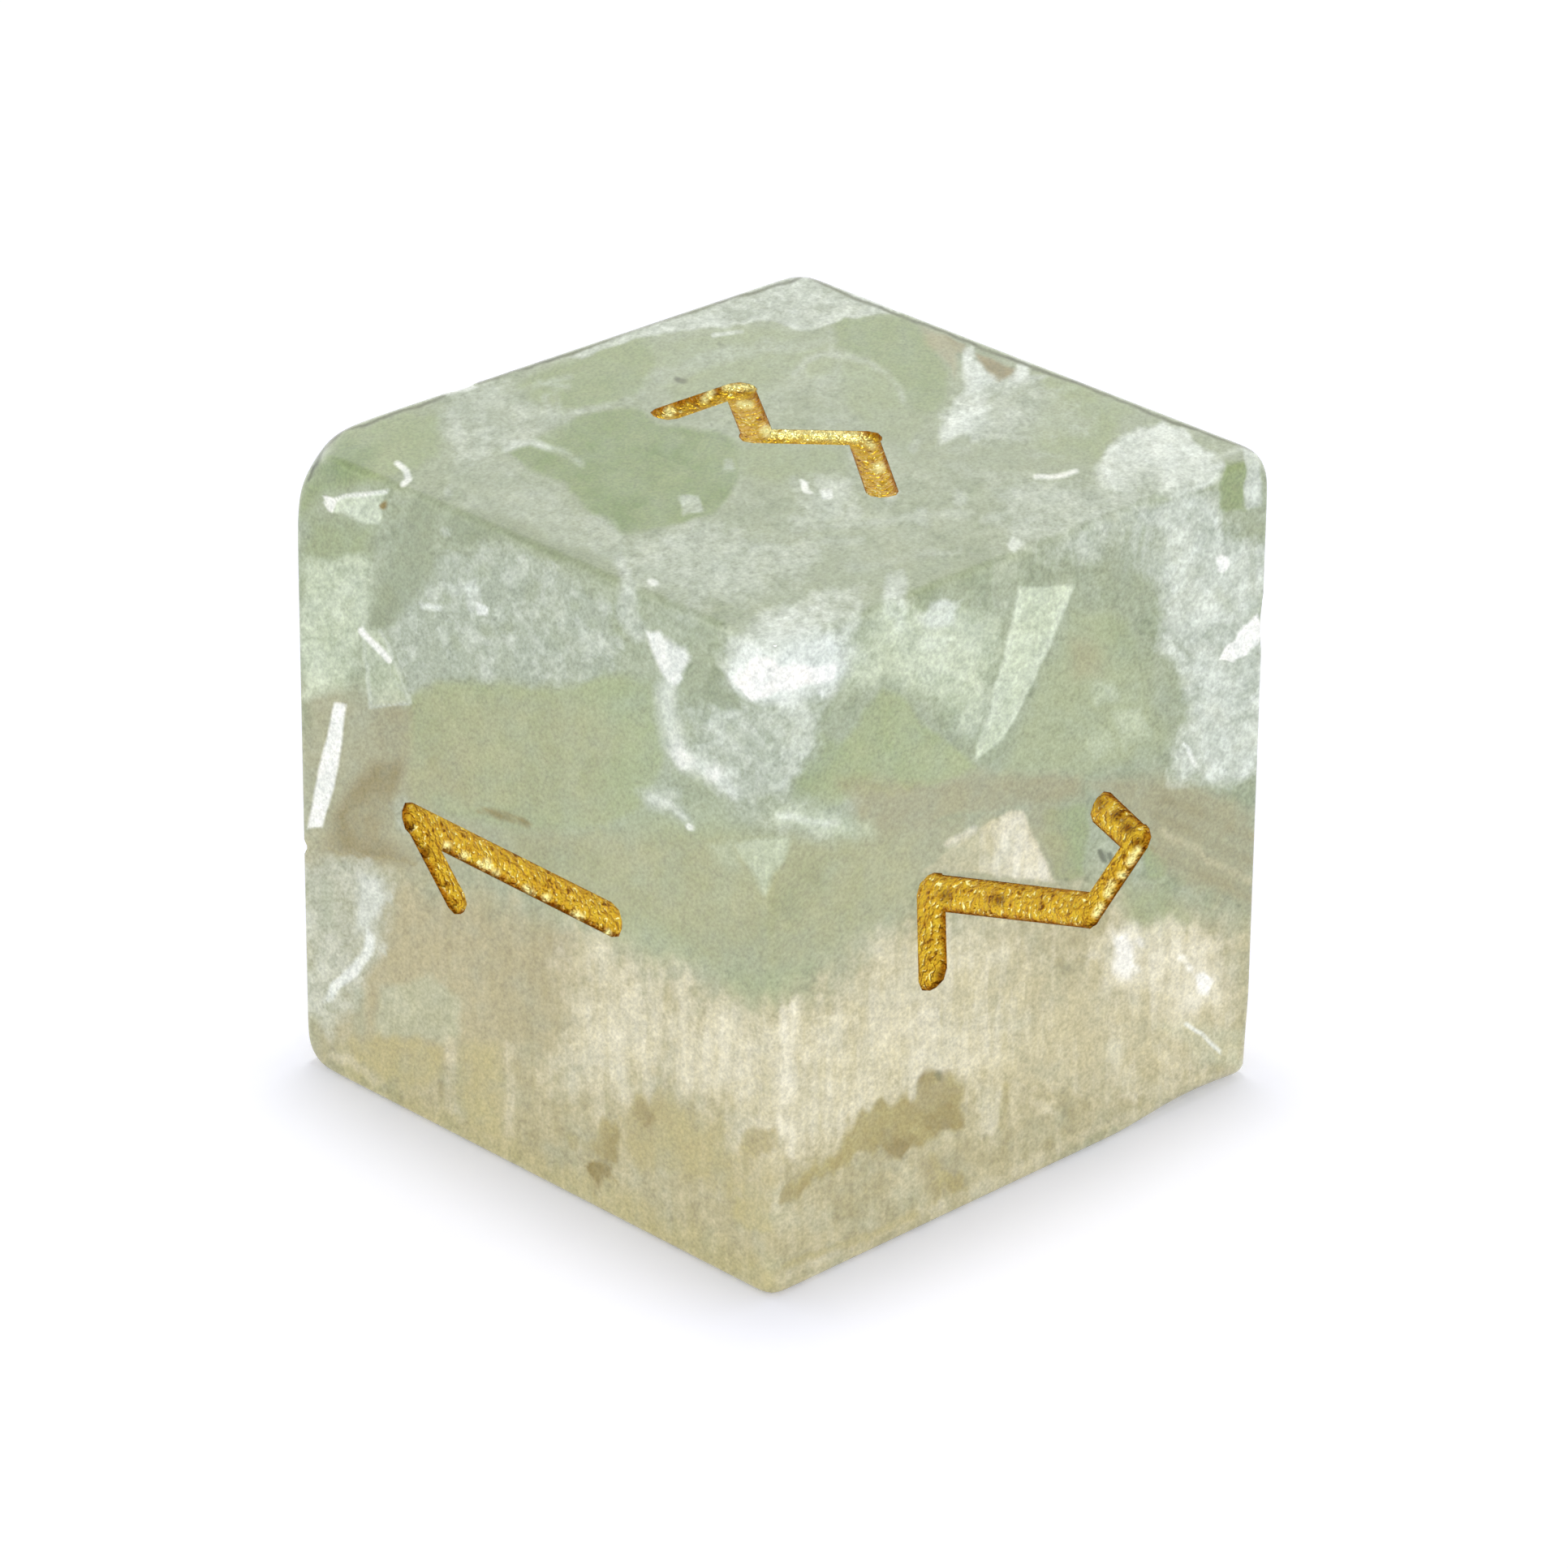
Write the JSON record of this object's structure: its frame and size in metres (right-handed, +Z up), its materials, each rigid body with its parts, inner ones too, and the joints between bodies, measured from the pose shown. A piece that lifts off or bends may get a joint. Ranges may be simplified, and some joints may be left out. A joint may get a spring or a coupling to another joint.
{
  "type": "gemstone die",
  "caption": "Six-sided die cut from cloudy pale green to beige fluorite, with straight-stroked numerals engraved in its faces and filled with gold.",
  "frame": {"origin": "middle of the face that the die rests on, which carries the 4", "axes": "+Z up through the face that carries the 3, +X out of the face that carries the 6, +Y out of the face that carries the 5"},
  "size_m": [0.0162, 0.0162, 0.016],
  "materials": {
    "polished_fluorite": "polished cloudy stone",
    "gold_filling": "grainy gold"
  },
  "bodies": {
    "root": {"fluorite_block": "polished_fluorite", "gold_numeral_1": "gold_filling", "gold_numeral_2": "gold_filling", "gold_numeral_3": "gold_filling", "gold_numeral_4": "gold_filling", "gold_numeral_5": "gold_filling", "gold_numeral_6": "gold_filling"}
  },
  "joints": []
}
